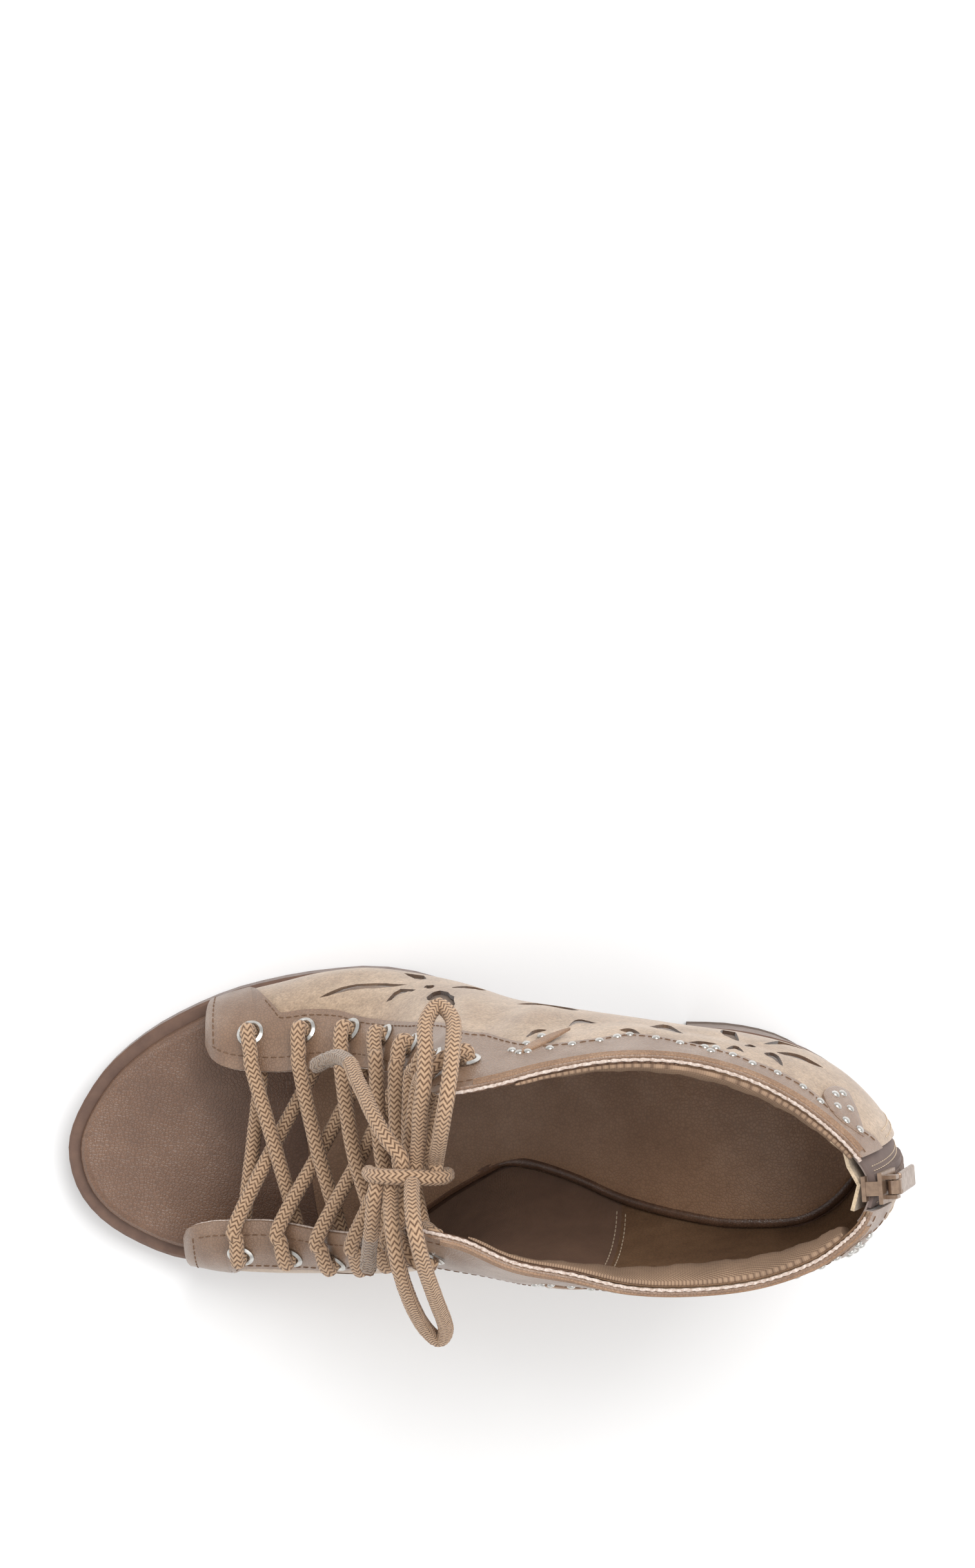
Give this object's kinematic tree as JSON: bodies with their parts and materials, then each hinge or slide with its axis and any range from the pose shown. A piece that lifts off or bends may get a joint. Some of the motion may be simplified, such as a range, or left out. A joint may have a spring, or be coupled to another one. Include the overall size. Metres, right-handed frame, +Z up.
{
  "type": "block heel ankle boot",
  "caption": "Open-toe lace-up ankle boot for the right foot, taupe suede with smooth leather straps, round lace through metal eyelets, back zip and high block heel.",
  "frame": {"origin": "middle of the footprint of the bounding box, on the floor, bow and ends left out", "axes": "+X from toe to heel, +Y to the outer side of the right foot, +Z up"},
  "size_m": [0.228, 0.0951, 0.151],
  "materials": {
    "sole_brown": "satin brown sole edge",
    "heel_wrap": "smooth brown wrap",
    "lift_rubber": "matt",
    "footbed_leather": "smooth brown",
    "suede": "taupe suede with smooth leather straps",
    "eyelet_metal": "bright silver",
    "zip_tape": "woven",
    "slider_metal": "taupe coated",
    "guard_leather": "soft beige",
    "lace_cotton": "round braided"
  },
  "bodies": {
    "boot": {"outsole": "sole_brown", "heel_block": "heel_wrap", "top_lift": "lift_rubber", "footbed": "footbed_leather", "upper": "suede", "eyelet_outer_1": "eyelet_metal", "eyelet_outer_2": "eyelet_metal", "eyelet_outer_3": "eyelet_metal", "eyelet_outer_4": "eyelet_metal", "eyelet_outer_5": "eyelet_metal", "eyelet_outer_6": "eyelet_metal", "eyelet_outer_7": "eyelet_metal", "eyelet_inner_1": "eyelet_metal", "eyelet_inner_2": "eyelet_metal", "eyelet_inner_3": "eyelet_metal", "eyelet_inner_4": "eyelet_metal", "eyelet_inner_5": "eyelet_metal", "eyelet_inner_6": "eyelet_metal", "eyelet_inner_7": "eyelet_metal", "zip_tape": "zip_tape", "zip_slider": "slider_metal", "zip_guard": "guard_leather", "lace_bar": "lace_cotton", "lace_cross_1": "lace_cotton", "lace_cross_2": "lace_cotton", "lace_cross_3": "lace_cotton", "lace_cross_4": "lace_cotton", "lace_cross_5": "lace_cotton", "lace_cross_6": "lace_cotton", "lace_gather": "lace_cotton", "lace_knot": "lace_cotton", "lace_loop_tall": "lace_cotton", "lace_loop_low": "lace_cotton", "lace_end_long": "lace_cotton", "lace_end_short": "lace_cotton"},
    "pull_tab": {"zip_pull": "slider_metal"}
  },
  "joints": [
    {"name": "pull_hinge", "type": "hinge", "parent": "boot", "child": "pull_tab", "pos_m": [0.10694, -0.00788, 0.14682], "axis": [0.0229, -0.9991, 0.0366], "range_deg": [0, 150]}
  ]
}
